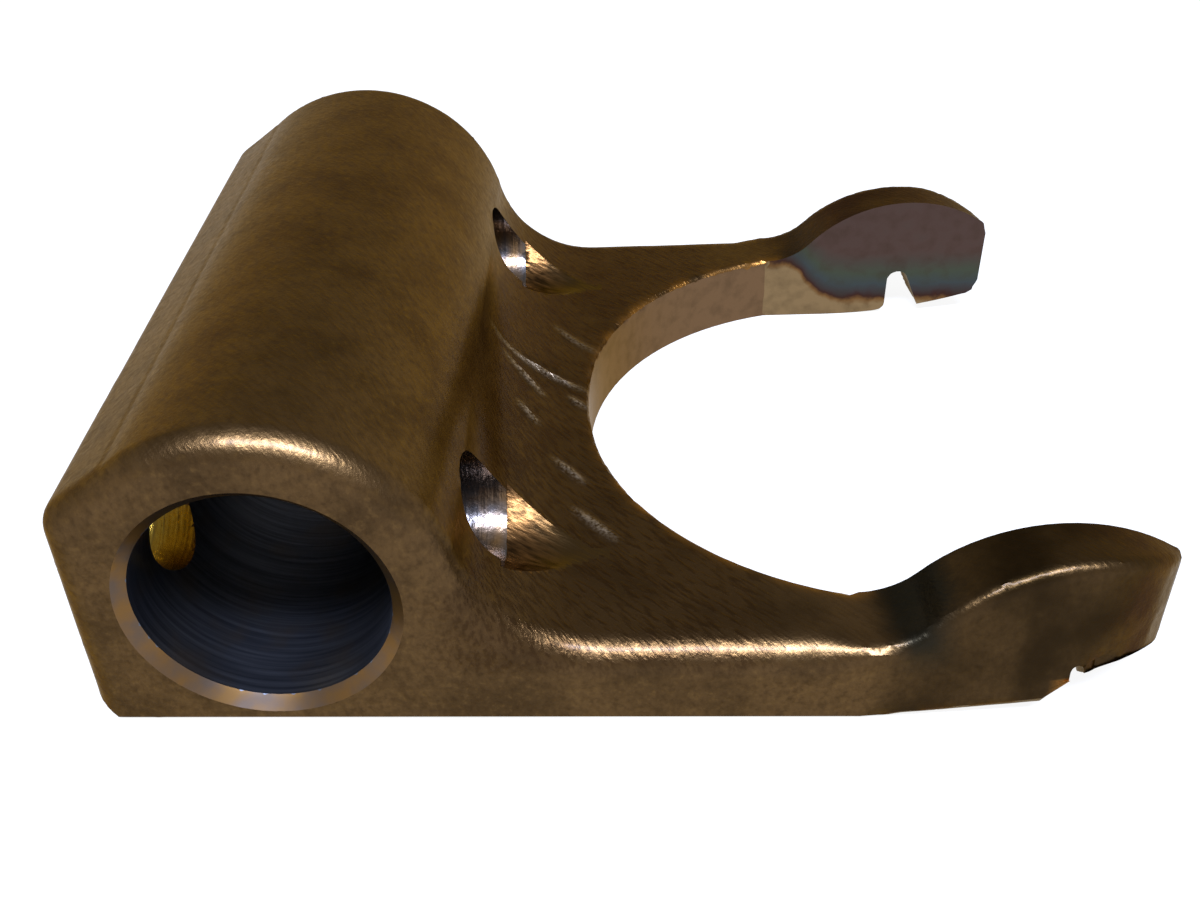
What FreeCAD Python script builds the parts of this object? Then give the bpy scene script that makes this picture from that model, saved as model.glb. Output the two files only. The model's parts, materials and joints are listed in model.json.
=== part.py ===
import FreeCAD, Part
import math
import os

# Clutch fork: one steel forging, clamped to a cross shaft by two bolts.
# +X runs from the shaft to the finger tips, +Y along the shaft, +Z up.
# The origin lies on the flat underside, straight below the middle of the bore.
# All sizes are in millimetres.

# hub
BORE_DIAMETER = 25.4      # running bore for the cross shaft
BORE_HEIGHT = 15.2        # bore axis above the underside
BORE_CHAMFER = 1.2        # lead-in at both ends of the bore
HUB_RADIUS = 19.5         # outside of the hub, about the bore axis
HUB_BACK = 19.3           # bore axis to the flat back
SHOULDER_SLOPE = 34.7     # fall of the flat shoulder behind the crown, degrees
SHOULDER_ROUND = 3.5      # corner between that shoulder and the back
HEEL_CHAMFER = 2.8        # broken corner between the back and the underside
WIDTH = 87.6              # hub length and width over both arms

# web and throat
WEB_THICKNESS = 9.0
WEB_FILLET = 14.0         # hollow between hub and web
THROAT_ROOT = 31.4        # bore axis to the root of the throat
ROOT_RADIUS = 54.0        # flat curve at the root of the throat
ROOT_HALF_ANGLE = 5.5     # how far that curve runs to each side, degrees
THROAT_EDGE = 0.8         # rounding of the throat's top edge

# arms and finger pads
ARM_THICKNESS = 8.45      # arms and fingers, from outer side to machined inner face
REACH = 87.8              # bore axis to the end of the fingers
PAD_LENGTH = 30.4         # finger pad, from the end of the arm to the end of the finger
FOOT_NOSE_RADIUS = 15.0   # end of the finger, seen from above, at its foot
CROWN_NOSE_RADIUS = 14.0  # the same at its crown
CROWN_LEAN = 6.5          # lean of the outer side at its crown, seen from above, degrees
PAD_CREST_HEIGHT = 17.55
PAD_RADIUS = 18.0         # crown of the pad
PAD_HOLLOW = 8.0          # hollow between the arm's top and the crown
RISE_LENGTH = 21.8        # last stretch of the finger, whose underside rises to the tip
RISE_RADIUS = 72.0
TIP_ROUND = 2.2           # corners between the end face and the crown or underside
PAD_EDGE = 1.2            # outer edge of the pad's crown and end
EDGE_BLEND = 4.0          # length over which the arm's rounded edge narrows to the pad's
FOOT_GROWTH = 0.2         # growth of the lower outer edge's radius per mm of reach
TIP_LOWER_EDGE = 1.5      # lower edge round the nose

# spring notch across the underside of each finger
NOTCH_TO_END = 11.45      # middle of the notch's round top to the end of the finger
NOTCH_TOP = 6.75
NOTCH_RADIUS = 1.45
NOTCH_FLARE = 23.0        # lean of the wall on the tip's side, degrees
NOTCH_LIP = 1.1           # rounded lip on the arm's side

# clamp bolt holes, square to the bore and level with its axis
BOLT_HOLE_DIAMETER = 12.0
BOLT_SPACING = 58.0
RELIEF_RADIUS = 7.6       # cutter clearance over the web
RELIEF_SEAT_X = 22.5      # where that clearance starts
RELIEF_STAND = 0.1        # least metal that the cutter leaves on the web

# forged edges
END_ROUND = 3.0           # edge round the hub's ends and the arms' outer sides
BASE_ROUND = 0.8          # edge round the underside

HALF_WIDTH = WIDTH / 2
HALF_GAP = HALF_WIDTH - ARM_THICKNESS
PAD_START = REACH - PAD_LENGTH
RISE_START = REACH - RISE_LENGTH
NOTCH_X = REACH - NOTCH_TO_END
OVERRUN = 5.0             # how far a cutting tool runs past the metal
BLOCK_OVERRUN = 1.0       # how far the finger's block runs above its crown


def point(x, z, y=0.0):
    return FreeCAD.Vector(x, y, z)


def line(a, b):
    return Part.LineSegment(a, b).toShape()


def arc(a, middle, b):
    return Part.Arc(a, middle, b).toShape()


def on_circle(centre, radius, degrees):
    """Point at an angle from +X towards +Z, in the plane of the side view."""
    a = math.radians(degrees)
    return centre + FreeCAD.Vector(radius * math.cos(a), 0, radius * math.sin(a))


def swept_arc(centre, radius, start, end):
    """Arc between two angles of the side view, in degrees."""
    return arc(
        on_circle(centre, radius, start),
        on_circle(centre, radius, (start + end) / 2),
        on_circle(centre, radius, end),
    )


def extrude(edges, direction):
    wire = Part.Wire(Part.__sortEdges__(edges))
    return Part.Face(wire).extrude(direction)


def hub_and_web():
    """Hub, hollow and web as one side view, drawn along the whole width."""
    bore_axis = point(0, BORE_HEIGHT, -HALF_WIDTH)
    rise = WEB_THICKNESS + WEB_FILLET - BORE_HEIGHT
    reach = math.sqrt((HUB_RADIUS + WEB_FILLET) ** 2 - rise**2)
    hollow_centre = point(reach, WEB_THICKNESS + WEB_FILLET, -HALF_WIDTH)
    meet = math.degrees(math.atan2(rise, reach))
    shoulder_angle = 90 + SHOULDER_SLOPE
    shoulder = on_circle(bore_axis, HUB_RADIUS, shoulder_angle)
    fall = (HUB_BACK - abs(shoulder.x)) * math.tan(math.radians(SHOULDER_SLOPE))
    back_high = point(-HUB_BACK, shoulder.z - fall, -HALF_WIDTH)
    back_low = point(-HUB_BACK, HEEL_CHAMFER, -HALF_WIDTH)
    heel = point(-HUB_BACK + HEEL_CHAMFER, 0, -HALF_WIDTH)
    toe = point(PAD_START, 0, -HALF_WIDTH)
    web_end = point(PAD_START, WEB_THICKNESS, -HALF_WIDTH)
    web_start = point(reach, WEB_THICKNESS, -HALF_WIDTH)
    outline = [
        line(heel, toe),
        line(toe, web_end),
        line(web_end, web_start),
        swept_arc(hollow_centre, WEB_FILLET, 270, 180 + meet),
        swept_arc(bore_axis, HUB_RADIUS, meet, shoulder_angle),
        line(shoulder, back_high),
        line(back_high, back_low),
        line(back_low, heel),
    ]
    body = extrude(outline, FreeCAD.Vector(0, WIDTH, 0))
    corner = [e for e in body.Edges if is_at(e, back_high)]
    return body.makeFillet(SHOULDER_ROUND, corner)


def is_at(edge, place):
    """True for an edge that runs across the fork through a point of the side view."""
    box = edge.BoundBox
    near = abs(box.XMin - place.x) < 1e-3 and abs(box.ZMin - place.z) < 1e-3
    return near and box.XLength < 1e-3 and box.ZLength < 1e-3


def is_end_edge(edge):
    """True for an edge that lies in one of the two end faces of the hub."""
    box = edge.BoundBox
    return box.YLength < 1e-6 and abs(abs(box.YMin) - HALF_WIDTH) < 1e-6


def round_ends(body):
    """Round the end faces: generously above, lightly along the underside."""
    upper = []
    for edge in body.Edges:
        box = edge.BoundBox
        across = box.XLength < 1e-6 and box.XMin > 0
        if is_end_edge(edge) and box.ZMax > HEEL_CHAMFER + 1e-3 and not across:
            upper.append(edge)
    body = body.makeFillet(END_ROUND, upper)
    lower = []
    for edge in body.Edges:
        if is_end_edge(edge) and edge.BoundBox.ZMax < 1e-6:
            lower.append(edge)
    return body.makeFillet(BASE_ROUND, lower)


def throat_outline():
    """Plan of the throat: a flat root curve, two tighter sides, then the flats."""
    turn = math.radians(ROOT_HALF_ANGLE)
    root_centre = FreeCAD.Vector(THROAT_ROOT + ROOT_RADIUS, 0, 0)
    inwards = FreeCAD.Vector(math.cos(turn), -math.sin(turn), 0)
    join = root_centre - inwards * ROOT_RADIUS
    flat_start = FreeCAD.Vector(PAD_START, HALF_GAP, 0)
    chord = flat_start - join
    side_radius = chord.dot(chord) / (2 * chord.dot(inwards))
    side_centre = join + inwards * side_radius
    outwards = (join + flat_start) * 0.5 - side_centre
    side_mid = side_centre + outwards.normalize() * side_radius
    mouth = FreeCAD.Vector(REACH + OVERRUN, HALF_GAP, 0)
    return join, side_mid, flat_start, mouth


def mirrored(vector):
    return FreeCAD.Vector(vector.x, -vector.y, vector.z)


def throat_cutter():
    join, side_mid, flat_start, mouth = throat_outline()
    root = FreeCAD.Vector(THROAT_ROOT, 0, 0)
    outline = [arc(mirrored(join), root, join)]
    for flip in (lambda v: v, mirrored):
        outline.append(arc(flip(join), flip(side_mid), flip(flat_start)))
        outline.append(line(flip(flat_start), flip(mouth)))
    outline.append(line(mouth, mirrored(mouth)))
    cutter = extrude(outline, FreeCAD.Vector(0, 0, WEB_THICKNESS + 2 * OVERRUN))
    cutter.translate(FreeCAD.Vector(0, 0, -OVERRUN))
    return cutter


def cut_throat(body):
    """Cut the throat and round the top edge of its curved wall."""
    body = body.cut(throat_cutter())
    top_edges = []
    for edge in body.Edges:
        box = edge.BoundBox
        on_web_top = box.ZMin > WEB_THICKNESS - 1e-3 and box.XMin > THROAT_ROOT - 1e-3
        if on_web_top and box.XLength > 1e-3 and box.YLength > 1e-3:
            top_edges.append(edge)
    return body.makeFillet(THROAT_EDGE, top_edges)


def underside_height(x):
    """Height of the finger's underside, which rises along an arc towards the tip."""
    return RISE_RADIUS - math.sqrt(RISE_RADIUS**2 - max(x - RISE_START, 0) ** 2)


def pad_side_view():
    """Finger drawn across its width: hollow, crowned top, upright end, rising underside."""
    hollow_centre = point(PAD_START, WEB_THICKNESS + PAD_HOLLOW)
    drop = hollow_centre.z - (PAD_CREST_HEIGHT - PAD_RADIUS)
    run = math.sqrt((PAD_RADIUS + PAD_HOLLOW) ** 2 - drop**2)
    crown_centre = point(PAD_START + run, PAD_CREST_HEIGHT - PAD_RADIUS)
    meet = math.degrees(math.atan2(drop, -run))
    crown_end = math.degrees(math.acos((REACH - crown_centre.x) / PAD_RADIUS))
    start_low = point(PAD_START, 0)
    start_high = point(PAD_START, WEB_THICKNESS)
    rise_start = point(RISE_START, 0)
    rise_middle = (RISE_START + REACH) / 2
    low = point(REACH, underside_height(REACH))
    high = on_circle(crown_centre, PAD_RADIUS, crown_end)
    outline = [
        line(start_low, rise_start),
        arc(rise_start, point(rise_middle, underside_height(rise_middle)), low),
        line(low, high),
        swept_arc(crown_centre, PAD_RADIUS, crown_end, meet),
        swept_arc(hollow_centre, PAD_HOLLOW, meet - 180, -90),
        line(start_high, start_low),
    ]
    side = extrude(outline, FreeCAD.Vector(0, WIDTH, 0))
    return side.makeFillet(TIP_ROUND, [e for e in side.Edges if is_at(e, low) or is_at(e, high)])


def pad_plan(lean, nose_radius, height):
    """Finger seen from above at one height: flat inner face, leaning outer side, round nose."""
    turn = math.radians(lean)
    inner_start = FreeCAD.Vector(PAD_START, HALF_GAP, height)
    outer_start = FreeCAD.Vector(PAD_START, HALF_WIDTH, height)
    inner_end = FreeCAD.Vector(REACH, HALF_GAP, height)
    along = FreeCAD.Vector(math.cos(turn), -math.sin(turn), 0)
    inwards = FreeCAD.Vector(-math.sin(turn), -math.cos(turn), 0)
    to_end = inner_end - (outer_start + inwards * nose_radius)
    run = along.dot(to_end) - math.sqrt(nose_radius**2 - inwards.dot(to_end) ** 2)
    outer_end = outer_start + along * run
    nose_centre = outer_end + inwards * nose_radius
    start = math.pi / 2 - turn
    end = math.asin((HALF_GAP - nose_centre.y) / nose_radius)
    middle = (start + end) / 2
    nose = nose_centre + FreeCAD.Vector(
        nose_radius * math.cos(middle), nose_radius * math.sin(middle), 0
    )
    return Part.Wire([
        line(inner_start, outer_start),
        line(outer_start, outer_end),
        arc(outer_end, nose, inner_end),
        line(inner_end, inner_start),
    ])


def pad_block():
    """Upright block of the finger, whose outer side leans more and more towards the top."""
    foot = pad_plan(0, FOOT_NOSE_RADIUS, 0)
    top = pad_plan(CROWN_LEAN, CROWN_NOSE_RADIUS, PAD_CREST_HEIGHT + BLOCK_OVERRUN)
    return Part.makeLoft([foot, top], True, True)


def edge_waste(height, up, places):
    """Waste outside the outer edge at a height, between rounded sections (x, radius)."""
    sections = []
    for x, radius in places:
        centre = FreeCAD.Vector(x, HALF_WIDTH - radius, height - up * radius)
        flat_end = centre + FreeCAD.Vector(0, 0, up * radius)
        side_end = centre + FreeCAD.Vector(0, radius, 0)
        diagonal = radius * math.sqrt(0.5)
        middle = centre + FreeCAD.Vector(0, diagonal, up * diagonal)
        beyond = height + up * OVERRUN
        outside = [
            FreeCAD.Vector(x, HALF_WIDTH + OVERRUN, side_end.z),
            FreeCAD.Vector(x, HALF_WIDTH + OVERRUN, beyond),
            FreeCAD.Vector(x, flat_end.y, beyond),
        ]
        corners = [side_end] + outside + [flat_end]
        edges = [arc(flat_end, middle, side_end)]
        edges += [line(corners[i], corners[i + 1]) for i in range(len(corners) - 1)]
        sections.append(Part.Wire(edges))
    return Part.makeLoft(sections, True, True)


def edge_blend():
    """Last stretch of the arm's upper outer edge, narrowing to the edge of the pad."""
    start = PAD_START - EDGE_BLEND
    corner = FreeCAD.Vector(start, HALF_WIDTH - END_ROUND, WEB_THICKNESS - END_ROUND)
    bead = Part.makeBox(EDGE_BLEND, END_ROUND, END_ROUND, corner)
    return bead.cut(edge_waste(WEB_THICKNESS, 1, [(start, END_ROUND), (PAD_START, PAD_EDGE)]))


def notch_cutter():
    """Spring notch: upright wall with a rounded lip, round top, leaning wall."""
    flare = math.radians(NOTCH_FLARE)
    y = HALF_GAP - OVERRUN
    top_centre = point(NOTCH_X, NOTCH_TOP - NOTCH_RADIUS, y)
    wall_x = NOTCH_X - NOTCH_RADIUS
    lean_top = on_circle(top_centre, NOTCH_RADIUS, NOTCH_FLARE)
    depth = lean_top.z + OVERRUN
    lean_foot = point(lean_top.x + depth * math.tan(flare), -OVERRUN, y)
    lip_centre = point(wall_x - NOTCH_LIP, underside_height(wall_x) + NOTCH_LIP, y)
    lip_low = on_circle(lip_centre, NOTCH_LIP, -90)
    lip_foot = point(lip_low.x, -OVERRUN, y)
    outline = [
        swept_arc(top_centre, NOTCH_RADIUS, NOTCH_FLARE, 180),
        line(point(wall_x, top_centre.z, y), point(wall_x, lip_centre.z, y)),
        swept_arc(lip_centre, NOTCH_LIP, 0, -90),
        line(lip_low, lip_foot),
        line(lip_foot, lean_foot),
        line(lean_foot, lean_top),
    ]
    return extrude(outline, FreeCAD.Vector(0, HALF_WIDTH, 0))


def finger():
    """The finger on the +Y side, with its edges rounded and its notch cut."""
    pad = pad_side_view().common(pad_block())
    crown = []
    for edge in pad.Edges:
        box = edge.BoundBox
        if box.YMax > HALF_GAP + 0.01 and box.XLength > 1e-3 and box.ZMin > WEB_THICKNESS - 0.01:
            crown.append(edge)
    pad = pad.makeFillet(PAD_EDGE, crown)
    end = REACH + OVERRUN
    end_radius = BASE_ROUND + FOOT_GROWTH * (end - PAD_START)
    pad = pad.cut(edge_waste(0, -1, [(PAD_START, BASE_ROUND), (end, end_radius)]))
    nose = []
    for edge in pad.Edges:
        box = edge.BoundBox
        on_outside = box.YMax > HALF_GAP + 0.01 and box.YMax < HALF_WIDTH - BASE_ROUND
        if on_outside and box.XLength > 1e-3 and box.ZMax < WEB_THICKNESS and box.XMin > NOTCH_X:
            nose.append(edge)
    return pad.makeFillet(TIP_LOWER_EDGE, nose).cut(notch_cutter())


def bolt_cutter(y):
    """Cross hole through both walls of the hub and its clearance over the web."""
    along = FreeCAD.Vector(1, 0, 0)
    radius = BOLT_HOLE_DIAMETER / 2
    start = FreeCAD.Vector(-HUB_RADIUS - OVERRUN, y, BORE_HEIGHT)
    length = THROAT_ROOT + HUB_RADIUS + OVERRUN
    hole = Part.makeCylinder(radius, length, start, along)
    relief_height = WEB_THICKNESS + RELIEF_STAND + RELIEF_RADIUS
    seat = FreeCAD.Vector(RELIEF_SEAT_X, y, relief_height)
    relief = Part.makeCylinder(RELIEF_RADIUS, THROAT_ROOT - RELIEF_SEAT_X + OVERRUN, seat, along)
    return hole.fuse(relief)


def bore_cutter():
    """Running bore with a lead-in chamfer at both ends."""
    along = FreeCAD.Vector(0, 1, 0)
    radius = BORE_DIAMETER / 2
    start = FreeCAD.Vector(0, -HALF_WIDTH - OVERRUN, BORE_HEIGHT)
    cutter = Part.makeCylinder(radius, WIDTH + 2 * OVERRUN, start, along)
    for side in (-1, 1):
        face = FreeCAD.Vector(0, side * HALF_WIDTH, BORE_HEIGHT)
        lead = Part.makeCone(
            radius + BORE_CHAMFER, radius, BORE_CHAMFER, face, FreeCAD.Vector(0, -side, 0)
        )
        cutter = cutter.fuse(lead)
    return cutter


def mirror_y(shape):
    return shape.mirror(FreeCAD.Vector(0, 0, 0), FreeCAD.Vector(0, 1, 0))


def build():
    fork = cut_throat(round_ends(hub_and_web()))
    for piece in (edge_blend(), finger()):
        fork = fork.fuse(piece).fuse(mirror_y(piece))
    for side in (-1, 1):
        fork = fork.cut(bolt_cutter(side * BOLT_SPACING / 2))
    return fork.cut(bore_cutter())


if __name__ == "__main__":
    os.makedirs("parts", exist_ok=True)
    build().exportStep("parts/clutch_fork.step")
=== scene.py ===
import json
import math

import bmesh
import bpy
import numpy as np
from bpy.props import FloatProperty, FloatVectorProperty, PointerProperty
from mathutils import Matrix, Vector


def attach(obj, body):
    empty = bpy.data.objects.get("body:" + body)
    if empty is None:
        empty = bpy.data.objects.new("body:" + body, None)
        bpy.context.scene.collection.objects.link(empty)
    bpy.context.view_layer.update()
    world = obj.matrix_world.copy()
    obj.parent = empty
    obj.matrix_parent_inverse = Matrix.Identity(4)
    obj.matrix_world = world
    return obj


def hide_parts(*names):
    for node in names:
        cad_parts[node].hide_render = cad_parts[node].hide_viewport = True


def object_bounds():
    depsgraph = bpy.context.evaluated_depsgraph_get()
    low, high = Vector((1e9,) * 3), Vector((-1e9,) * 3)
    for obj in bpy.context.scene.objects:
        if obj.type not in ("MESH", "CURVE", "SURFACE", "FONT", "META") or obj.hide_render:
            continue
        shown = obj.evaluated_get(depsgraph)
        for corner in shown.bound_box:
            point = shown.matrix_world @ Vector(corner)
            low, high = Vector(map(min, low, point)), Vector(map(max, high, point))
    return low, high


bl_info = {
    "name": "Clutch fork",
    "version": (1, 0, 0),
    "blender": (4, 5, 0),
    "location": "3D View > Sidebar > Clutch fork",
    "description": "Forged skin, machined faces and a studio for a clutch fork",
    "category": "Object",
}

MM = 0.001
NODE = "clutch_fork"

# finish of a face, in the order of the piece's materials
SKIN, BORE, CHAMFER, HOLE, TROUGH, THROAT = range(6)

# seeds of the random fields
LONG_WAVES, SHORT_WAVES, RAGGED_EDGE, HEAT_FRONT = 3, 4, 5, 6

MERGED_DISTANCE = 0.0001 * MM   # corners of the CAD mesh that are one point
WELD_DISTANCE = 0.01 * MM       # points that the grinding has brought together
FACE_SLACK = 0.12 * MM          # how far a face may lie off its true surface
ROUND_SLACK = 0.07 * MM         # how far a point may lie off a cylinder and still be put on it
CHAMFER_RADIAL = 1.3 * MM       # how far the bore's chamfer reaches outwards
CHAMFER_DEPTH = 1.15 * MM       # and how far in from the hub's end
FINGER_RISE = 9 * MM            # how far a finger's crown stands above the web, at most
HELD_TURN = math.cos(math.radians(24))   # edges that turn more keep their place
SHADED_TURN = math.radians(32)           # edges that turn more are shaded sharp
RELAX_ROUNDS = 8                # rounds of smoothing over the remeshed faces
FADE_RINGS = 3                  # rings of points over which the relief fades to a held edge

# how squarely a face looks at an axis to be part of the hole round it, from 0 to 1
CLEAN_WALL, BLENDED_WALL = 0.5, 0.3
UPRIGHT_LIMIT = 0.35            # an upright face's normal rises by less

# laps in the hollow and the web: start, end and bow in mm, seen from above, and share of the height
LAPS = (
    ((19.0, 4.6), (31.5, 1.8), 0.9, 1.0),
    ((20.8, 2.8), (26.2, -1.6), 0.3, 0.8),
    ((22.9, -5.2), (25.6, -7.8), 0.0, 0.7),
    ((28.8, 0.4), (31.3, -2.2), 0.0, 0.5),
    ((26.6, 16.8), (33.0, 11.0), -0.3, 0.4),
    ((27.0, -13.2), (31.0, -17.2), 0.2, 0.6),
    ((29.2, -21.4), (34.4, -27.4), 0.2, 0.6),
)

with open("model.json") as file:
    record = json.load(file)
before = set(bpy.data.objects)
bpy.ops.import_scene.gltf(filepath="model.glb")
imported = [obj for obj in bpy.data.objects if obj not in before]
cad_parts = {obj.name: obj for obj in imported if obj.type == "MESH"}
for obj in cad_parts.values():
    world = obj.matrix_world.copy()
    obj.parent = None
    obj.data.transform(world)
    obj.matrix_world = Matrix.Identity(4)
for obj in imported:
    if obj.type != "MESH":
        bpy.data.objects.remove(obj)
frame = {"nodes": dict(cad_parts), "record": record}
cad_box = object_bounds()
mounts = {m["name"]: m for m in frame["record"]["mounts"]}


def srgb_to_linear(code):
    """Linear colour with alpha from an sRGB hex string such as 5a4628."""
    parts = [int(code[i:i + 2], 16) / 255 for i in (0, 2, 4)]
    return tuple(c / 12.92 if c <= 0.04045 else ((c + 0.055) / 1.055) ** 2.4 for c in parts) + (1.0,)


def colour_property(name, code, description):
    return FloatVectorProperty(
        name=name, description=description, subtype="COLOR", size=4, min=0, max=1,
        default=srgb_to_linear(code),
    )


def length_property(name, millimetres, description):
    return FloatProperty(
        name=name, description=description, default=millimetres * MM, unit="LENGTH", precision=5,
    )


class ForkFinish(bpy.types.PropertyGroup):
    """Sizes of the fork's surface detail, and the colours of its finishes."""

    mesh_share: FloatProperty(
        name="Mesh share", default=0.735, min=0.3, max=0.95,
        description="Share of the remesh grid that the fork fills; more gives a finer mesh",
    )
    undulation: length_property("Undulation", 0.05, "Height of the die's low waves on the forged skin")
    undulation_width: length_property("Wave width", 7.0, "Distance between those waves")
    lap_height: length_property("Lap height", 0.45, "Height of the forging laps in the web's hollow")
    lap_width: length_property("Lap width", 0.55, "Half width of one lap")
    web_height: length_property("Web height", 9.0, "Top of the web and arms above the underside")
    wall_depth: length_property("Throat root", 31.4, "Bore axis to the root of the throat")
    throat_half: length_property("Half throat", 35.35, "Middle of the throat to a finger's inner face")
    hub_radius: length_property("Hub radius", 19.5, "Outside of the hub, about the bore axis")
    hollow_radius: length_property("Hollow radius", 14.0, "Hollow between the hub and the web")
    ground_start: length_property("Grinding start", 72.7, "Where the ground edge leaves the underside")
    ground_slope: FloatProperty(name="Grinding slope", description="Rise per length", default=1.38, min=0)
    ground_top: length_property("Grinding top", 6.2, "Height of the ground edge at the notch")
    tip_slope: FloatProperty(name="Tip slope", description="Rise beyond the notch", default=0.5, min=0)
    notch_middle: length_property("Notch middle", 77.8, "Middle of the spring notch's mouth")
    notch_reach: length_property("Notch reach", 3.1, "Half of the stretch that the notch takes up")
    notch_roof: length_property("Notch roof", 5.9, "Height above which the notch narrows outwards")
    notch_top: length_property("Notch top", 6.85, "Just above the top of the notch")
    trough_radius: length_property("Trough radius", 7.6, "Cutter that cleared the web before a bolt hole")
    trough_axis: length_property("Trough height", 16.7, "Height of that cutter's axis")
    trough_start: length_property("Trough start", 22.5, "Where that clearance starts")
    pad_start: length_property("Finger start", 57.4, "Where an arm ends and its finger begins")
    heat_start: length_property("Heat start", 60.0, "Where the flame-hardened end of a finger begins")
    skin: colour_property("Forged skin", "543f25", "Shot-blasted and oiled forged steel")
    skin_dark: colour_property("Dark skin", "2e2111", "Darker patches of that skin")
    skin_gold: colour_property("Golden skin", "a06c2c", "Thin gold oxide on rubbed edges")
    turned: colour_property("Turned bore", "686a70", "Fine-turned steel of the bore")
    chamfered: colour_property("Turned chamfer", "6e5230", "Lead-in at both ends of the bore")
    drilled: colour_property("Drilled holes", "625c58", "Drilled steel of the bolt holes")
    cleared: colour_property("Milled trough", "6a4a28", "Clearance in front of the bolt holes")
    milled: colour_property("Milled throat", "6a523a", "Milled wall of the throat")


class ForkStage(bpy.types.PropertyGroup):
    """Light levels of the studio."""

    key_power: FloatProperty(name="Key lamp", description="Power of the lamp high in front", default=22.0)
    surround: FloatProperty(name="Surround", description="World light on matt surfaces", default=0.6)
    ceiling: FloatProperty(name="Ceiling", description="World level seen in metal from above", default=0.38)


def add_node(tree, kind, inputs=None, **settings):
    """Add a node; settings are its own fields or its inputs by name.

    The inputs, by name or number, are linked where they are sockets and set where they are values.
    """
    node = tree.nodes.new(kind)
    for key, value in settings.items():
        if key in node.bl_rna.properties:
            setattr(node, key, value)
        else:
            node.inputs[key.replace("_", " ")].default_value = value
    for key, value in (inputs or {}).items():
        if isinstance(value, bpy.types.NodeSocket):
            tree.links.new(value, node.inputs[key])
        else:
            node.inputs[key].default_value = value
    return node


def new_material(name, roughness, edge="ffffff", coat=0.0):
    """Metal with its tint at the edge; returns it, its tree, its shader and its place."""
    material = bpy.data.materials.new(name)
    material.use_nodes = True
    tree = material.node_tree
    shader = tree.nodes["Principled BSDF"]
    shader.inputs["Metallic"].default_value = 1.0
    shader.inputs["Specular Tint"].default_value = srgb_to_linear(edge)
    shader.inputs["Coat Weight"].default_value = coat
    shader.inputs["Coat Roughness"].default_value = 0.22
    shader.inputs["Roughness"].default_value = roughness
    place = add_node(tree, "ShaderNodeTexCoord").outputs["Object"]
    return material, tree, shader, place


def pattern(tree, place, spacing_mm, detail=2.0, stretch=(1, 1, 1), turn=0.0, rough=0.5):
    """Cloudy pattern with one feature every spacing_mm, stretched along the turned axes."""
    mapping = add_node(
        tree, "ShaderNodeMapping", {"Vector": place}, vector_type="TEXTURE",
        Rotation=(0, 0, math.radians(turn)), Scale=tuple(spacing_mm * MM * s for s in stretch),
    )
    return add_node(
        tree, "ShaderNodeTexNoise", {"Vector": mapping.outputs[0]},
        Scale=1.0, Detail=detail, Roughness=rough,
    ).outputs["Fac"]


def laid_over(tree, under, mask, colour, low=0.0, high=1.0, most=1.0):
    """Colour laid over another: not at all where the mask is low, by the share most where it is high."""
    share = add_node(
        tree, "ShaderNodeMapRange", {"Value": mask}, From_Min=low, From_Max=high, To_Max=most,
    ).outputs[0]
    return add_node(
        tree, "ShaderNodeMix", {0: share, 6: under, 7: tuple(colour)}, data_type="RGBA",
    ).outputs[2]


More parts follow.
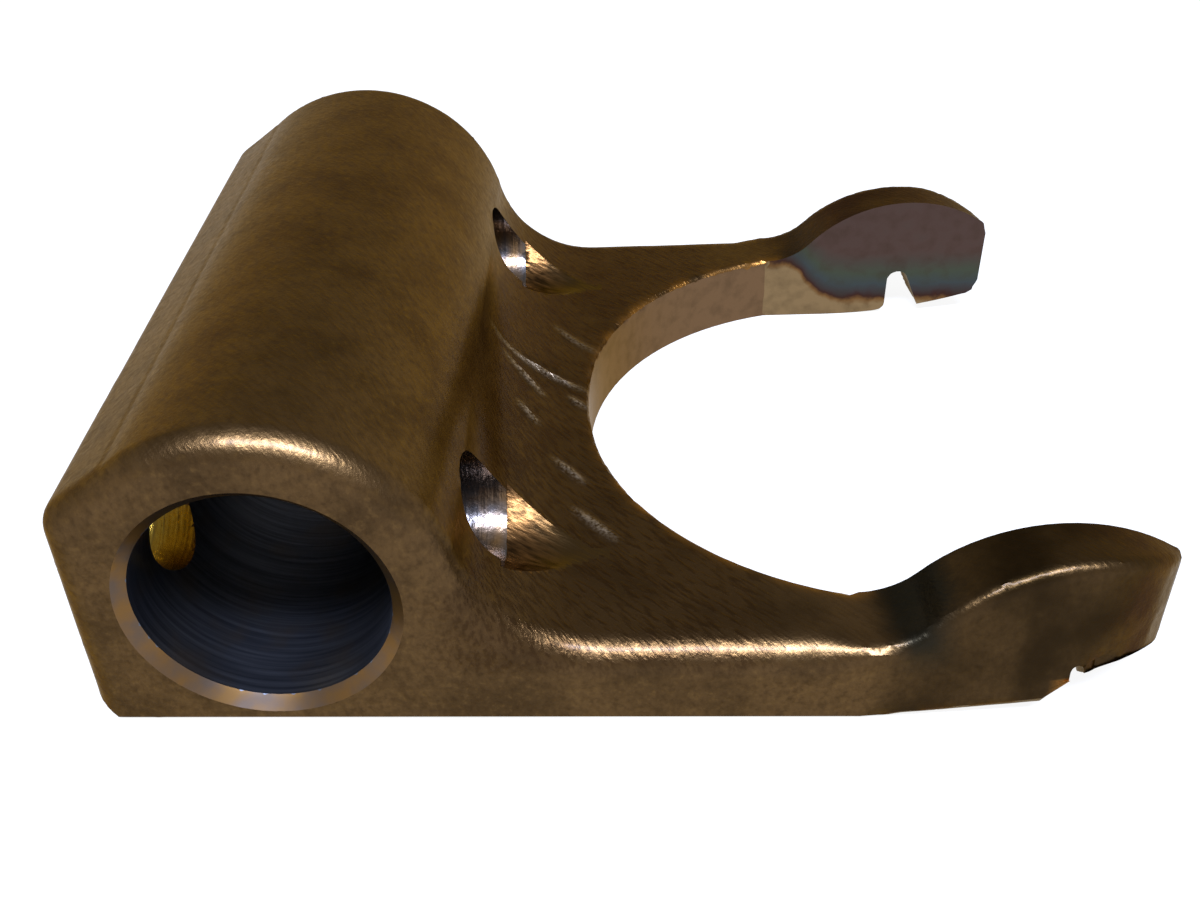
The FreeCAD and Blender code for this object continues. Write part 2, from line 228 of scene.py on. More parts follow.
def forged_skin(finish):
    """Hot-forged medium-carbon steel, shot-blasted and oiled.

    The eye sees a fine grain of dents, brown oxide in soft patches, and diagonal die marks.
    """
    material, tree, shader, place = new_material("shot_blasted_forged_steel", 0.34, "d0bc9c", coat=0.07)
    grain = pattern(tree, place, 0.35, detail=3.0)  # dents of 0.2 mm shot, drawn coarser so that they show
    speckle = pattern(tree, place, 0.9, detail=4.0, rough=0.65)
    patches = pattern(tree, place, 7.0, detail=3.0)
    streaks = pattern(tree, place, 0.4, detail=4.0, stretch=(5, 1, 2), turn=-47)
    gold, burnt, streaky, baked, lap_glint = (
        add_node(tree, "ShaderNodeAttribute", attribute_name=name).outputs["Fac"]
        for name in ("gold", "burnt", "streaky", "baked", "lap_glint")
    )
    high_grain = add_node(tree, "ShaderNodeMapRange", {"Value": grain}, From_Min=0.35, From_Max=0.65)
    # painted highlight: the lap crests' mask, broken by the grain, stands for glints on the wrinkles
    glinting = add_node(
        tree, "ShaderNodeMath", {0: lap_glint, 1: high_grain.outputs[0]}, operation="MULTIPLY",
    ).outputs[0]
    high_streaks = add_node(tree, "ShaderNodeMapRange", {"Value": streaks}, From_Min=0.45, From_Max=0.62)
    marks = add_node(
        tree, "ShaderNodeMath", {0: high_streaks.outputs[0], 1: streaky}, operation="MULTIPLY",
    ).outputs[0]
    mottle = add_node(
        tree, "ShaderNodeMapRange", {"Value": patches},
        From_Min=0.35, From_Max=0.65, To_Min=0.55, To_Max=0.95,
    )
    scale = add_node(
        tree, "ShaderNodeMath", {0: baked, 1: mottle.outputs[0]}, operation="MULTIPLY",
    ).outputs[0]

    thin_oxide, mark_floor = srgb_to_linear("664e2c"), srgb_to_linear("2a1a0a")
    web_oxide, baked_scale = srgb_to_linear("332210"), srgb_to_linear("231808")
    # the last colour here is a painted highlight, lighter steel for the lap crests' glints
    burnt_scale, glint_colour = srgb_to_linear("191a14"), srgb_to_linear("c8b49a")
    colour = laid_over(tree, tuple(finish.skin), patches, finish.skin_dark, low=0.42, high=0.68, most=0.55)
    colour = laid_over(tree, colour, speckle, finish.skin_dark, low=0.5, high=0.75, most=0.6)
    colour = laid_over(tree, colour, speckle, thin_oxide, low=0.46, high=0.28, most=0.45)
    colour = laid_over(tree, colour, marks, mark_floor, most=0.6)
    colour = laid_over(tree, colour, streaky, web_oxide, low=0.4, high=1.0, most=0.4)
    colour = laid_over(tree, colour, scale, baked_scale)
    colour = laid_over(tree, colour, burnt, burnt_scale)
    # painted highlight: lighter steel laid over the lap crests
    colour = laid_over(tree, colour, glinting, glint_colour)
    colour = laid_over(tree, colour, gold, finish.skin_gold)
    tree.links.new(colour, shader.inputs["Base Color"])
    roughness = add_node(
        tree, "ShaderNodeMapRange", {"Value": speckle}, From_Min=0.3, From_Max=0.7, To_Min=0.29, To_Max=0.42,
    )
    tree.links.new(roughness.outputs[0], shader.inputs["Roughness"])

    relief = add_node(tree, "ShaderNodeMath", {0: grain, 1: speckle}, operation="ADD").outputs[0]
    relief = add_node(tree, "ShaderNodeMath", {0: marks, 1: relief}, operation="ADD").outputs[0]
    bump = add_node(tree, "ShaderNodeBump", {"Height": relief}, Strength=0.5, Distance=0.06 * MM)
    tree.links.new(bump.outputs[0], shader.inputs["Normal"])
    return material


def turned_bore(finish):
    """Fine-turned steel: blue-grey, with close tool rings round the bore."""
    material, tree, shader, place = new_material("fine_turned_steel", 0.34)
    # a feed of 0.15 mm, drawn as rings of 0.5 mm so that they show
    rings = pattern(tree, place, 0.5, detail=4.0, stretch=(30, 1, 30))
    stain = pattern(tree, place, 5.0, detail=3.0)
    ring_floor, oil_stain = srgb_to_linear("484a50"), srgb_to_linear("66594a")
    colour = laid_over(tree, tuple(finish.turned), rings, ring_floor, low=0.35, high=0.65)
    colour = laid_over(tree, colour, stain, oil_stain, low=0.5, high=0.7, most=0.5)
    tree.links.new(colour, shader.inputs["Base Color"])
    bump = add_node(tree, "ShaderNodeBump", {"Height": rings}, Strength=0.5, Distance=0.03 * MM)
    tree.links.new(bump.outputs[0], shader.inputs["Normal"])
    return material


def turned_chamfer(finish):
    """Turned lead-in of the bore: brighter, with a gold film of rust proofing."""
    material, tree, shader, place = new_material("turned_chamfer_steel", 0.3, "dccab0")
    stain = pattern(tree, place, 3.0, detail=3.0)
    oil_stain = srgb_to_linear("5a4c40")
    colour = laid_over(tree, tuple(finish.chamfered), stain, oil_stain, low=0.35, high=0.65)
    tree.links.new(colour, shader.inputs["Base Color"])
    return material


def drilled_steel(finish):
    """Drilled steel: silver and blue-grey, with rough rings, oil stains, and painted light in the far wall's
    hole.
    """
    material, tree, shader, place = new_material("drilled_steel", 0.25)
    # a feed of 0.2 mm, drawn as rings of 0.45 mm so that they show
    rings = pattern(tree, place, 0.45, detail=4.0, stretch=(1, 18, 18))
    dents = pattern(tree, place, 0.6, detail=3.0)
    stain = pattern(tree, place, 4.0, detail=2.0)
    along = add_node(tree, "ShaderNodeSeparateXYZ", {0: place}).outputs[0]
    oil_stain, light_through_hole = srgb_to_linear("8a6a44"), srgb_to_linear("a08434")
    ring_floor = srgb_to_linear("3e3a38")
    colour = laid_over(tree, tuple(finish.drilled), stain, oil_stain, low=0.4, high=0.65)
    # painted light: the hole in the bore's far wall, below -8 mm in x, is painted gold for the light that
    # shines in through it
    colour = laid_over(tree, colour, along, light_through_hole, low=-8 * MM, high=-12 * MM)
    colour = laid_over(tree, colour, rings, ring_floor, low=0.5, high=0.7, most=0.6)
    tree.links.new(colour, shader.inputs["Base Color"])
    relief = add_node(tree, "ShaderNodeMath", {0: rings, 1: dents}, operation="ADD").outputs[0]
    bump = add_node(tree, "ShaderNodeBump", {"Height": relief}, Strength=0.6, Distance=0.06 * MM)
    tree.links.new(bump.outputs[0], shader.inputs["Normal"])
    return material


def milled_trough(finish):
    """Milled clearance over the web: torn, golden steel with marks along the cut."""
    material, tree, shader, place = new_material("rough_milled_steel", 0.36, "dccab0")
    tears = pattern(tree, place, 0.5, detail=4.0, stretch=(6, 1, 1), turn=-35)
    away = add_node(tree, "ShaderNodeSeparateXYZ", {0: place}).outputs[0]
    tear_floor, shallow_end = srgb_to_linear("2e1f0f"), srgb_to_linear("44331c")
    colour = laid_over(tree, tuple(finish.cleared), tears, tear_floor, low=0.35, high=0.65)
    colour = laid_over(tree, colour, away, shallow_end, low=24.5 * MM, high=29 * MM)
    tree.links.new(colour, shader.inputs["Base Color"])
    bump = add_node(tree, "ShaderNodeBump", {"Height": tears}, Strength=0.8, Distance=0.12 * MM)
    tree.links.new(bump.outputs[0], shader.inputs["Normal"])
    return material


def milled_throat(finish):
    """Milled throat wall and fingers, flame-hardened at their ends.

    The eye sees a smooth tan-grey wall that turns through straw, purple and blue to grey-green.
    """
    material, tree, shader, place = new_material("milled_flame_hardened_steel", 0.36, "dccab0")
    heat = add_node(tree, "ShaderNodeAttribute", attribute_name="tempering").outputs["Fac"]
    cloud = pattern(tree, place, 2.0, detail=5.0)
    mill_marks = pattern(tree, place, 0.5, detail=3.0, stretch=(6, 6, 1))
    drift = add_node(
        tree, "ShaderNodeMapRange", {"Value": cloud}, From_Min=0.3, From_Max=0.7, To_Min=-0.03, To_Max=0.03,
    )
    heat = add_node(tree, "ShaderNodeMath", {0: heat, 1: drift.outputs[0]}, operation="ADD").outputs[0]
    ramp = add_node(tree, "ShaderNodeValToRGB", {"Fac": heat})
    # tempering colours by heat: bare wall, straw, brown, purple, blue, grey-green, baked brown
    bands = (
        (0.06, tuple(finish.milled)), (0.1, srgb_to_linear("7d6748")),
        (0.3, srgb_to_linear("7d6748")), (0.36, srgb_to_linear("6a4c2c")), (0.41, srgb_to_linear("38241f")),
        (0.47, srgb_to_linear("3a3433")), (0.56, srgb_to_linear("3a4040")), (0.72, srgb_to_linear("3f4438")),
        (0.86, srgb_to_linear("443d36")), (1.0, srgb_to_linear("4a3a34")),
    )
    stops = ramp.color_ramp.elements
    stops.remove(stops[1])
    stops[0].color = tuple(finish.milled)
    for position, band in bands:
        stops.new(position).color = band
    oil_stain = srgb_to_linear("34281c")
    colour = laid_over(tree, ramp.outputs[0], cloud, oil_stain, low=0.45, high=0.7, most=0.3)
    tree.links.new(colour, shader.inputs["Base Color"])
    bump = add_node(tree, "ShaderNodeBump", {"Height": mill_marks}, Strength=0.3, Distance=0.03 * MM)
    tree.links.new(bump.outputs[0], shader.inputs["Normal"])
    return material


def even_copy(share):
    """Merged copy of the CAD mesh, remeshed into even faces that keep its sharp edges."""
    source = frame["nodes"][NODE]
    work = bmesh.new()
    work.from_mesh(source.data)
    bmesh.ops.remove_doubles(work, verts=work.verts, dist=MERGED_DISTANCE)
    merged = bpy.data.meshes.new("merged")
    work.to_mesh(merged)
    work.free()
    holder = bpy.data.objects.new("holder", merged)
    bpy.context.scene.collection.objects.link(holder)
    grid = holder.modifiers.new("grid", "REMESH")
    grid.mode = "SHARP"
    grid.octree_depth = 8  # the finest that stays under 200,000 triangles
    grid.scale = share
    grid.sharpness = 1.0
    grid.use_remove_disconnected = False
    graph = bpy.context.evaluated_depsgraph_get()
    mesh = bpy.data.meshes.new_from_object(holder.evaluated_get(graph))
    bpy.data.objects.remove(holder)
    bpy.data.meshes.remove(merged)
    return mesh


def read(collection, field, width, kind=np.float64):
    """One field of a mesh collection as an array."""
    values = np.empty(len(collection) * width, dtype=kind)
    collection.foreach_get(field, values)
    return values.reshape(-1, width) if width > 1 else values


def edge_turns(mesh):
    """Cosine of the turn between the faces of each edge, from the length of their normals' mean."""
    totals = read(mesh.polygons, "loop_total", 1, np.int32)
    normals = np.repeat(read(mesh.polygons, "normal", 3), totals, axis=0)
    edge = read(mesh.loops, "edge_index", 1, np.int32)
    count = np.bincount(edge, minlength=len(mesh.edges))
    mean = np.stack([np.bincount(edge, n, len(mesh.edges)) for n in normals.T], axis=1) / count[:, None]
    return 2 * (mean**2).sum(axis=1) - 1


def relaxed(points, edges, held, step=0.5):
    """Each free point moved by the step's share of the way to the mean of its neighbours.

    Every other move goes back by 1.03 times as much, so that rounds don't shrink (Taubin).
    """
    count = np.bincount(edges.ravel(), minlength=len(points))[:, None]
    for number in range(2 * RELAX_ROUNDS):
        total = np.zeros_like(points)
        for axis in range(3):
            total[:, axis] = np.bincount(edges[:, 0], points[edges[:, 1], axis], len(points))
            total[:, axis] += np.bincount(edges[:, 1], points[edges[:, 0], axis], len(points))
        pull = (total / count - points) * (step if number % 2 == 0 else -1.03 * step)
        points = points + np.where(held[:, None], 0, pull)
    return points


def on_cylinder(points, plane, centre, radius, slack):
    """Points within the slack of a cylinder, moved onto it; the plane names the two axes across it."""
    offset = points[:, plane] - centre
    distance = np.linalg.norm(offset, axis=1)
    close = np.abs(distance - radius) < slack
    moved = points.copy()
    moved[np.ix_(close, plane)] = centre + offset[close] * (radius / distance[close])[:, None]
    return moved


def true_rounds(points, finish):
    """Points near the bore, the hub and its hollow put on their true cylinders.

    The hollow's axis lies both radii from the hub's axis, one hollow radius above the web.
    """
    axis_z = mounts["shaft_bore"]["pos_m"][2]
    bore_radius = mounts["shaft_bore"]["dims"]["r_mm"] * MM
    hollow_z = finish.web_height + finish.hollow_radius
    hollow_x = math.sqrt((finish.hub_radius + finish.hollow_radius) ** 2 - (hollow_z - axis_z) ** 2)
    for centre, radius in (
        ((0, axis_z), bore_radius),
        ((0, axis_z), finish.hub_radius),
        ((hollow_x, hollow_z), finish.hollow_radius),
    ):
        points = on_cylinder(points, [0, 2], np.array(centre), radius, ROUND_SLACK)
    return points


def smoothstep(share):
    """Share from 0 to 1, eased at both ends: its square times three minus twice itself."""
    return share * share * (3 - 2 * share)


def grinding_height(points, finish):
    """Height of the ground edge: rises steeply to the notch, gently beyond, and by 1 in 1 outwards."""
    x, y, _ = points.T
    steep = (x - finish.ground_start) * finish.ground_slope
    gentle = finish.ground_top + (x - finish.notch_middle) * finish.tip_slope
    return np.minimum(steep, gentle) + np.abs(y) - cad_box[1].y


def narrowed_notch(points, finish):
    """Spring notch drawn in towards its middle, eased from nothing inside to 55% at the outer side."""
    full_width, narrowing, loss = 1.5 * MM, 5 * MM, 0.55
    x, y, z = points.T
    inside = (np.abs(x - finish.notch_middle) < finish.notch_reach) & (z < finish.notch_top)
    outwards = np.clip((np.abs(y) - finish.throat_half - full_width) / narrowing, 0, 1)
    share = np.where(inside, 1 - loss * smoothstep(outwards), 1)
    narrow_x = finish.notch_middle + (x - finish.notch_middle) * share
    narrow_z = finish.notch_roof + (z - finish.notch_roof) * share
    return np.stack([narrow_x, y, np.where(z > finish.notch_roof, narrow_z, z)], axis=1)


def ground_edge(mesh, finish):
    """The fingers' lower outer edge ground away: what lies below the grinding height moves up to it."""
    points = narrowed_notch(read(mesh.vertices, "co", 3), finish)
    height = grinding_height(points, finish)
    on_finger = points[:, 0] > finish.pad_start
    points[:, 2] = np.where(on_finger, np.maximum(points[:, 2], height), points[:, 2])
    mesh.vertices.foreach_set("co", points.ravel())
    work = bmesh.new()
    work.from_mesh(mesh)
    bmesh.ops.remove_doubles(work, verts=work.verts, dist=WELD_DISTANCE)
    bmesh.ops.dissolve_degenerate(work, edges=work.edges, dist=WELD_DISTANCE)
    work.to_mesh(mesh)
    work.free()


def waves(points, spacing, seed):
    """Smooth random field, about -1 to 1: random values on a lattice, blended by smoothstep."""
    scaled = (points - points.min(axis=0)) / spacing
    cell = scaled.astype(int)
    part = smoothstep(scaled - cell)
    lattice = np.random.default_rng(seed).uniform(-1, 1, cell.max(axis=0) + 2)
    value = np.zeros(len(points))
    for corner in np.ndindex(2, 2, 2):
        weight = np.prod(np.where(corner, part, 1 - part), axis=1)
        x, y, z = (cell + corner).T
        value += weight * lattice[x, y, z]
    return value


def window(value, low, high, soft):
    """1 between low and high, falling evenly to 0 over the soft width on each side."""
    rise = np.clip((value - low) / soft + 1, 0, 1)
    fall = np.clip((high - value) / soft + 1, 0, 1)
    return rise * fall


def lap(points, start, end, bow, half_width):
    """Height of one lap: a bell across its bowed line, a half sine along it."""
    start, end = np.array(start) * MM, np.array(end) * MM
    along = end - start
    length = np.linalg.norm(along)
    along = along / length
    offset = points[:, :2] - start
    run = offset @ along / length
    swell = np.sin(math.pi * np.clip(run, 0, 1))
    side = offset @ np.array((-along[1], along[0])) - bow * MM * swell
    return np.exp(-(side / half_width) ** 2) * swell


def around(across, rise, normal_across, normal_rise):
    """Distance from an axis, and how squarely a face looks at it: 1 for a hole's wall."""
    distance = np.hypot(across, rise)
    facing = -(normal_across * across + normal_rise * rise) / np.maximum(distance, 1e-9)
    return distance, facing


def surface_kinds(centres, normals, finish):
    """Finish of each face, by where it lies and which way it looks."""
    x, y, z = centres.T
    normal_x, normal_y, normal_z = normals.T
    axis_z = mounts["shaft_bore"]["pos_m"][2]
    bore_radius = mounts["shaft_bore"]["dims"]["r_mm"] * MM
    hole_radius = mounts["clamp_bolts"]["dims"]["hole_r_mm"] * MM
    hole_side = mounts["clamp_bolts"]["dims"]["spacing_x_mm"] * MM / 2
    kinds = np.full(len(centres), SKIN, dtype=np.int32)

    in_throat = (x > finish.wall_depth - FACE_SLACK) & (np.abs(y) < finish.throat_half + FACE_SLACK)
    upright = np.abs(normal_z) < UPRIGHT_LIMIT
    kinds[in_throat & upright & (z < finish.web_height + FINGER_RISE)] = THROAT

    radial, facing_bore = around(x, z - axis_z, normal_x, normal_z)
    kinds[(radial < bore_radius + FACE_SLACK) & (facing_bore > CLEAN_WALL)] = BORE
    at_end = np.abs(y) > cad_box[1].y - CHAMFER_DEPTH
    kinds[at_end & (radial < bore_radius + CHAMFER_RADIAL) & (facing_bore > BLENDED_WALL)] = CHAMFER

    side = np.abs(y) - hole_side
    normal_side = normal_y * np.sign(y)
    hole, facing_hole = around(side, z - axis_z, normal_side, normal_z)
    on_hole = hole < hole_radius + FACE_SLACK
    between = (radial > bore_radius + FACE_SLACK) & (x < finish.trough_start)
    kinds[on_hole & (facing_hole > CLEAN_WALL) & between] = HOLE

    trough, facing_trough = around(side, z - finish.trough_axis, normal_side, normal_z)
    cut = (trough < finish.trough_radius + FACE_SLACK) & (facing_trough > BLENDED_WALL)
    cut |= on_hole & (facing_hole > BLENDED_WALL)
    in_front = (x > finish.trough_start) & (x < finish.wall_depth + 2 * MM)
    kinds[cut & in_front & (z > finish.web_height)] = TROUGH
    return kinds


def faded(free, edges):
    """Freedom of each point, lowered to the mean of its neighbours, ring after ring."""
    count = np.bincount(edges.ravel(), minlength=len(free))
    for _ in range(FADE_RINGS):
        total = np.bincount(edges[:, 0], free[edges[:, 1]], len(free))
        total += np.bincount(edges[:, 1], free[edges[:, 0]], len(free))
        free = np.minimum(free, total / count)
    return free


def forging_relief(points, finish):
    """Height of each point over its smooth surface, and the share of painted highlight on the lap crests.

    Long and short waves only sink; each lap is a ridge with a shallower groove beside it.
    """
    short_share, short_width = 0.4, finish.undulation_width / 3
    height = finish.undulation * waves(points, finish.undulation_width, LONG_WAVES)
    height += short_share * finish.undulation * waves(points, short_width, SHORT_WAVES)
    height = np.minimum(height, 0)
    lap_glint = np.zeros(len(points))
    web, hollow_top, soft = finish.web_height - 0.1 * MM, 18 * MM, 2 * MM
    in_hollow = window(points[:, 2], web, hollow_top, soft)
    groove_offset, groove_share, crest_share = 1.1, 0.4, 0.8
    for start, end, bow, share in LAPS:
        strength = in_hollow * share * finish.lap_height
        height += strength * lap(points, start, end, bow, finish.lap_width)
        height -= groove_share * strength * lap(points, start, end, bow + groove_offset, finish.lap_width)
        # painted highlight: the crests' mask, which the skin colours lighter for their glints
        crest = lap(points, start, end, bow, crest_share * finish.lap_width)
        lap_glint = np.maximum(lap_glint, in_hollow * share * crest)
    return height, lap_glint


def tempering(points, finish):
    """Heat from 0 to 1: by height over a line that falls from 9 to 2.7 mm along the finger."""
    x, _, z = points.T
    fall_length, line_end, line_fall, full_rise = 4.2 * MM, 2.7, 6.3, 12 * MM
    heat_on_line, coolest = 0.4, 0.15
    past = np.maximum((x - finish.heat_start) / fall_length, 0)
    line = (line_end + line_fall * np.exp(-past ** 2)) * MM
    heat = heat_on_line + (z - line) / full_rise
    return np.where(x < finish.pad_start, 0, np.clip(heat, coolest, 1))


def golden_edges(points, on_throat, finish):
    """Gold on the throat's upper edge and on the ground edges, both broken by a random field.

    On the throat's edge it is a bell of the distance to the nearest point of the wall's rim.
    """
    x, _, z = points.T
    ragged_width, lip_width, lip_strength, ground_strength = 2.2 * MM, 0.9 * MM, 0.6, 0.8
    ragged = 0.5 + 0.5 * waves(points, ragged_width, RAGGED_EDGE)
    above_web = z - finish.web_height
    rim = points[on_throat & (above_web > -1.2 * MM) & (above_web < 0.2 * MM)]
    near = np.full(len(points), 1.0)
    band = np.flatnonzero((above_web > -1.3 * MM) & (above_web < 0.3 * MM) & (x > 30 * MM))
    for chunk in np.array_split(band, 40):  # so that no table of distances grows too large
        near[chunk] = np.sqrt(((points[chunk][:, None] - rim[None]) ** 2).sum(axis=2)).min(axis=1)
    lip = np.exp(-(near / lip_width) ** 2) * np.clip(ragged * 1.6 - 0.2, 0, 1)
    lip *= window(x, 36 * MM, 56 * MM, 6 * MM)
    above_grinding = z - grinding_height(points, finish)
    ground = window(x, 72 * MM, 76.5 * MM, 1.5 * MM) * window(above_grinding, -1 * MM, 0.1 * MM, 0.3 * MM)
    return np.clip(lip_strength * lip + ground_strength * ground * ragged, 0, 1)


def put_attribute(mesh, name, values):
    """One number per point, which a material reads by its name."""
    mesh.attributes.new(name, "FLOAT", "POINT").data.foreach_set("value", values.astype(np.float32))


def mark_finishes(mesh, points, on_throat, lap_glint, finish):
    """Masks of the skin's gold, burnt, baked and streaky parts, the painted highlight on the lap crests, and
    the tempering heat.
    """
    x, _, z = points.T
    front_drift, front_width, burnt_most, streaky_least = 1.5 * MM, 4 * MM, 0.8, 0.35
    front = x + front_drift * waves(points, front_width, HEAT_FRONT)
    burnt = window(front, 61.5 * MM, 63.5 * MM, 3 * MM) * window(z, 9.5 * MM, math.inf, 4 * MM)
    baked = window(front, finish.heat_start + 2 * MM, math.inf, 5 * MM)
    on_web = window(x, 20 * MM, 46 * MM, 8 * MM) * window(z, 8 * MM, 16 * MM, 3 * MM)
    put_attribute(mesh, "tempering", tempering(points, finish))
    put_attribute(mesh, "gold", golden_edges(points, on_throat, finish))
    # painted highlight on the lap crests
    put_attribute(mesh, "lap_glint", lap_glint)
    put_attribute(mesh, "burnt", burnt_most * burnt)
    put_attribute(mesh, "baked", baked)
    put_attribute(mesh, "streaky", np.maximum(on_web, streaky_least))


def forge_body(finish):
    """The fork's visible piece: even mesh, forging waves and laps, and masks for its finishes."""
    mesh = even_copy(finish.mesh_share)
    mesh.materials.clear()
    ground_edge(mesh, finish)
    points = read(mesh.vertices, "co", 3)
    edges = read(mesh.edges, "vertices", 2, np.int32)
    held = np.zeros(len(points), dtype=bool)
    held[edges[edge_turns(mesh) < HELD_TURN].ravel()] = True
    points = true_rounds(relaxed(points, edges, held), finish)
    mesh.vertices.foreach_set("co", points.ravel())
    mesh.update()

    kinds = surface_kinds(read(mesh.polygons, "center", 3), read(mesh.polygons, "normal", 3), finish)
    mesh.polygons.foreach_set("material_index", kinds)
    corner_kind = np.repeat(kinds, read(mesh.polygons, "loop_total", 1, np.int32))
    corner_point = read(mesh.loops, "vertex_index", 1, np.int32)
    machined = np.bincount(corner_point, corner_kind != SKIN, len(points)) > 0
    on_throat = np.bincount(corner_point, corner_kind == THROAT, len(points)) > 0

    # the second array is the painted highlight on the lap crests
    height, lap_glint = forging_relief(points, finish)
    free = faded(np.where(machined | held, 0.0, 1.0), edges)
    moved = points + read(mesh.vertices, "normal", 3) * (height * free)[:, None]
    mesh.vertices.foreach_set("co", np.clip(moved, *np.array(cad_box)).ravel())
    mesh.update()

    mark_finishes(mesh, points, on_throat, lap_glint, finish)
    mesh.polygons.foreach_set("use_smooth", np.ones(len(mesh.polygons), dtype=bool))
    mesh.set_sharp_from_angle(angle=SHADED_TURN)
    mesh.name = "forged_fork"
    return mesh


class CLUTCHFORK_OT_body(bpy.types.Operator):
    """Build the forged fork with its machined faces"""

    bl_idname = "clutch_fork.body"
    bl_label = "Forged fork"

    def execute(self, context):
        finish = context.scene.fork_finish
        mesh = forge_body(finish)
        makers = {
            SKIN: forged_skin, BORE: turned_bore, CHAMFER: turned_chamfer,
            HOLE: drilled_steel, TROUGH: milled_trough, THROAT: milled_throat,
        }
        for kind in sorted(makers):
            mesh.materials.append(makers[kind](finish))
        kinds = read(mesh.polygons, "material_index", 1, np.int32)
        if len(np.unique(kinds)) < len(makers):
            raise RuntimeError("a finish of the fork has no face")
        piece = bpy.data.objects.new("forged_fork", mesh)
        context.scene.collection.objects.link(piece)
        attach(piece, "root")
        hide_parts(NODE)
        return {"FINISHED"}


def area_lamp(name, place, target, size, power, code):
    """Rectangular lamp that looks from its place at the target."""
    data = bpy.data.lights.new(name, "AREA")
    data.shape = "RECTANGLE"
    data.size, data.size_y = size
    data.energy = power
    data.color = srgb_to_linear(code)[:3]
    lamp = bpy.data.objects.new(name, data)
    bpy.context.scene.collection.objects.link(lamp)
    lamp.location = place
    lamp.rotation_euler = (Vector(target) - Vector(place)).to_track_quat("-Z", "Y").to_euler()


def make_camera():
    """Camera above the near side, looking down along the arms."""
    camera = bpy.data.objects.new("camera", bpy.data.cameras.new("camera"))
    bpy.context.scene.collection.objects.link(camera)
    place = Vector((0.0322, -0.1296, 0.0953))
    yaw, pitch, roll = -0.093, 0.609, -0.072
    forward = Vector((math.sin(yaw) * math.cos(pitch), math.cos(yaw) * math.cos(pitch), -math.sin(pitch)))
    level = forward.cross(Vector((0, 0, 1))).normalized()
    upright = level.cross(forward)
    right = level * math.cos(roll) + upright * math.sin(roll)
    up = upright * math.cos(roll) - level * math.sin(roll)
    turn = Matrix((right, up, -forward)).transposed().to_4x4()
    camera.matrix_world = Matrix.Translation(place) @ turn
    camera.data.sensor_width = 36
    camera.data.lens = 37.632
    camera.data.shift_x = 0.08325
    camera.data.shift_y = -0.01558
    camera.data.clip_start = 0.01
    bpy.context.scene.camera = camera


def seen_directly(tree):
    """1 for rays from the camera, or through reflection or glass."""
    path = add_node(tree, "ShaderNodeLightPath")
    seen = path.outputs["Is Camera Ray"]
    for name in ("Is Glossy Ray", "Is Transmission Ray"):
        links = {0: seen, 1: path.outputs[name]}
        seen = add_node(tree, "ShaderNodeMath", links, operation="MAXIMUM").outputs[0]
    return seen


def make_floor():
    """Plain pale floor that shows white and keeps the fork's shadow."""
    mesh = bpy.data.meshes.new("floor")
    reach = 3.0
    z = cad_box[0].z
    corners = [(-reach, -reach, z), (reach, -reach, z), (reach, reach, z), (-reach, reach, z)]
    mesh.from_pydata(corners, [], [(0, 1, 2, 3)])
    floor = bpy.data.objects.new("floor", mesh)
    bpy.context.scene.collection.objects.link(floor)
    material = bpy.data.materials.new("pale_matt_board")
    material.use_nodes = True
    tree = material.node_tree
    tree.nodes.remove(tree.nodes["Principled BSDF"])
    # the board sends back a tenth of the light and glows with the rest, so the lamp can't overlight it
    matt = add_node(tree, "ShaderNodeBsdfDiffuse", Color=srgb_to_linear("595959"))
    glow = add_node(tree, "ShaderNodeEmission", Strength=0.9)
    both = add_node(tree, "ShaderNodeAddShader", {0: matt.outputs[0], 1: glow.outputs[0]})
    mix = add_node(
        tree, "ShaderNodeMixShader", {0: seen_directly(tree), 1: matt.outputs[0], 2: both.outputs[0]},
    )
    tree.links.new(mix.outputs[0], tree.nodes["Material Output"].inputs[0])
    mesh.materials.append(material)


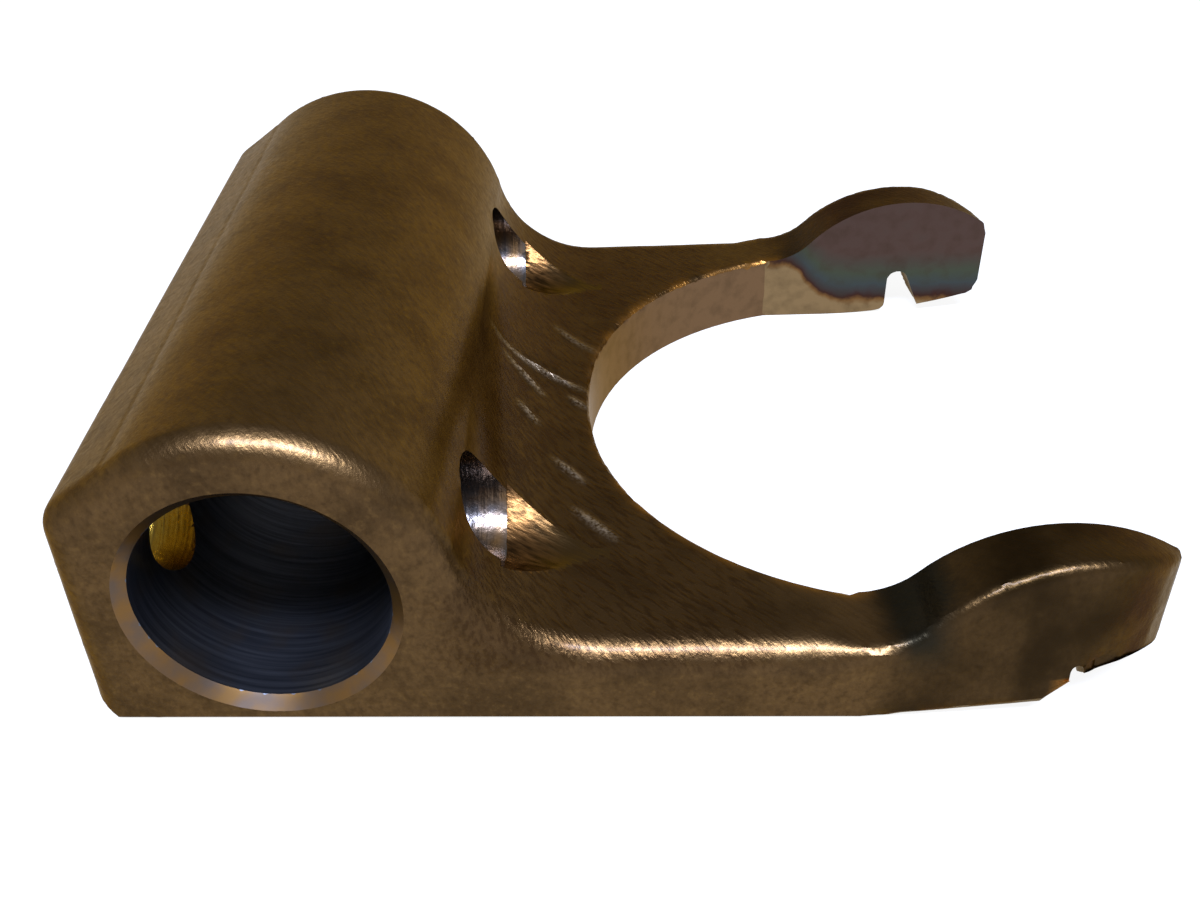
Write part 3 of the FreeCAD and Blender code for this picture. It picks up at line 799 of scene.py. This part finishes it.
def make_world(stage):
    """White surround with a dimmer ceiling."""
    world = bpy.data.worlds.new("studio")
    bpy.context.scene.world = world
    world.use_nodes = True
    tree = world.node_tree
    back = tree.nodes["Background"]
    back.inputs["Color"].default_value = srgb_to_linear("ffffff")
    direction = add_node(tree, "ShaderNodeTexCoord").outputs["Generated"]
    rise = add_node(tree, "ShaderNodeSeparateXYZ", {0: direction}).outputs[2]
    shown = add_node(
        tree, "ShaderNodeMapRange", {"Value": rise},
        From_Min=0.25, From_Max=0.6, To_Min=1.0, To_Max=stage.ceiling,
    )
    level = add_node(tree, "ShaderNodeMix", {0: seen_directly(tree), 2: stage.surround, 3: shown.outputs[0]})
    tree.links.new(level.outputs[0], back.inputs["Strength"])


class CLUTCHFORK_OT_stage(bpy.types.Operator):
    """Build the floor, the lights and the camera"""

    bl_idname = "clutch_fork.stage"
    bl_label = "Studio"

    def execute(self, context):
        stage = context.scene.fork_stage
        make_floor()
        make_world(stage)
        area_lamp("key", (0.05, -0.30, 0.55), (0.03, 0, 0.02), (0.45, 0.10), stage.key_power, "cad9ff")
        context.scene.view_settings.view_transform = "Standard"
        make_camera()
        return {"FINISHED"}


class CLUTCHFORK_PT_panel(bpy.types.Panel):
    """Sizes, colours and light of the fork, with its operators"""

    bl_idname = "CLUTCHFORK_PT_panel"
    bl_label = "Clutch fork"
    bl_space_type = "VIEW_3D"
    bl_region_type = "UI"
    bl_category = "Clutch fork"

    def draw(self, context):
        for group, operator in (("fork_finish", CLUTCHFORK_OT_body), ("fork_stage", CLUTCHFORK_OT_stage)):
            settings = getattr(context.scene, group)
            column = self.layout.column()
            for name in settings.__annotations__:
                column.prop(settings, name)
            column.operator(operator.bl_idname)


CLASSES = (ForkFinish, ForkStage, CLUTCHFORK_OT_body, CLUTCHFORK_OT_stage, CLUTCHFORK_PT_panel)


def register():
    for cls in CLASSES:
        bpy.utils.register_class(cls)
    bpy.types.Scene.fork_finish = PointerProperty(type=ForkFinish)
    bpy.types.Scene.fork_stage = PointerProperty(type=ForkStage)


def unregister():
    del bpy.types.Scene.fork_stage
    del bpy.types.Scene.fork_finish
    for cls in reversed(CLASSES):
        bpy.utils.unregister_class(cls)


def main():
    """Build the fork and its studio."""
    register()
    bpy.ops.clutch_fork.body()
    bpy.ops.clutch_fork.stage()


if __name__ == "__main__":
    main()
